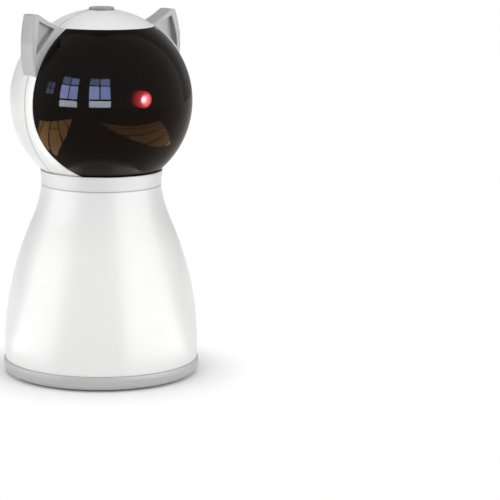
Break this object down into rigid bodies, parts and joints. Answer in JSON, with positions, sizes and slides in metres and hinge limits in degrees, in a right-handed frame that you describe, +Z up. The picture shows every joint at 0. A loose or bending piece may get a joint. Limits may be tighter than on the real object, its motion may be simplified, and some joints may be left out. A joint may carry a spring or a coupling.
{
  "type": "automatic cat laser toy",
  "caption": "Laser toy for cats: a round head with ears, dark visor and top button turns on a vase-shaped body and holds a motor-driven pan-and-tilt laser.",
  "frame": {"origin": "centre of the toy's footprint on the floor, on the body's axis", "axes": "+Z up along the body's axis; the visor and laser face -Y; the charging socket faces +Y; the toy's own left ear is on the +X side"},
  "size_m": [0.0792, 0.0792, 0.1477],
  "materials": {
    "white_shell": "glossy moulded ABS",
    "grey_trim": "satin moulded ABS",
    "visor_tint": "tinted polycarbonate, polished",
    "foot_rubber": "soft anti-slip silicone",
    "screw_steel": "zinc-plated",
    "spring_steel": "bright",
    "motor_steel": "nickel-plated pressed steel",
    "black_plastic": "moulded",
    "cream_plastic": "acetal",
    "dark_plastic": "moulded",
    "board_green": "circuit board lacquer",
    "battery_wrap": "shrink wrap",
    "laser_brass": "turned",
    "laser_lens": "clear lens that glows red",
    "lamp_lens": "frosted light pipe"
  },
  "bodies": {
    "base": {"base_cover": "grey_trim", "base_screws": "screw_steel", "battery_cell": "battery_wrap", "battery_contacts": "spring_steel", "battery_holder": "black_plastic", "board_plugs": "cream_plastic", "body_shell": "white_shell", "charge_board": "board_green", "charge_board_screws": "screw_steel", "charge_lamp": "lamp_lens", "collar_screws": "screw_steel", "control_chip": "black_plastic", "driver_chips": "black_plastic", "foot_ring": "foot_rubber", "holder_screws": "screw_steel", "main_board": "board_green", "motion_sensor": "motor_steel", "neck_collar": "white_shell", "spring_washer": "spring_steel", "storage_capacitor": "motor_steel", "swivel_washer": "cream_plastic", "usb_socket": "motor_steel", "usb_tongue": "black_plastic"},
    "head": {"head_rear_shell": "white_shell", "head_front_frame": "white_shell", "visor": "visor_tint", "ear_left": "grey_trim", "ear_right": "grey_trim", "head_chassis": "black_plastic", "chassis_screws": "screw_steel", "swivel_post": "black_plastic", "post_screws": "screw_steel", "swivel_clip": "spring_steel", "pan_motor": "motor_steel", "pan_motor_screws": "screw_steel", "pan_axle": "spring_steel", "axle_clip": "spring_steel", "button_switch": "black_plastic", "button_board": "board_green", "button_board_screws": "screw_steel"},
    "button": {"top_button": "grey_trim", "switch_plunger": "black_plastic"},
    "pan_stage": {"pan_gear": "cream_plastic", "laser_yoke": "dark_plastic", "yoke_screws": "screw_steel", "tilt_motor": "motor_steel", "tilt_motor_screws": "screw_steel"},
    "pan_drive": {"pan_motor_shaft": "spring_steel", "pan_pinion": "cream_plastic"},
    "laser_unit": {"laser_cradle": "dark_plastic", "tilt_pins": "spring_steel", "laser_barrel": "laser_brass", "laser_lens": "laser_lens", "lens_ring": "laser_brass", "laser_board": "board_green", "barrel_screw": "screw_steel"},
    "tilt_drive": {"tilt_motor_shaft": "spring_steel", "tilt_pinion": "cream_plastic"}
  },
  "joints": [
    {"name": "head_swivel", "type": "hinge", "parent": "base", "child": "head", "pos_m": [0, 0, 0.11064], "axis": [0, 0, 1], "range_deg": [-90, 90]},
    {"name": "button_press", "type": "slide", "parent": "head", "child": "button", "axis": [0, 0, -1], "range_m": [0, 0.0008], "stiffness_N_per_m": 1500, "springref_m": -0.0002},
    {"name": "laser_pan", "type": "hinge", "parent": "head", "child": "pan_stage", "pos_m": [0, 0, 0.11064], "axis": [0, 0, 1], "range_deg": [-50, 50]},
    {"name": "pan_pinion_spin", "type": "hinge", "parent": "head", "child": "pan_drive", "pos_m": [0, 0.015, 0.11064], "axis": [0, 0, 1], "range_deg": [-201, 201]},
    {"name": "laser_tilt", "type": "hinge", "parent": "pan_stage", "child": "laser_unit", "pos_m": [0, -0.008, 0.11359], "axis": [1, 0, 0], "range_deg": [-10, 40]},
    {"name": "tilt_pinion_spin", "type": "hinge", "parent": "pan_stage", "child": "tilt_drive", "pos_m": [0, 0.0035, 0.11359], "axis": [1, 0, 0], "range_deg": [-145, 37]}
  ],
  "couplings": [
    {"joint": "pan_pinion_spin", "follows": "laser_pan", "ratio": -4},
    {"joint": "tilt_pinion_spin", "follows": "laser_tilt", "ratio": -3.6}
  ]
}
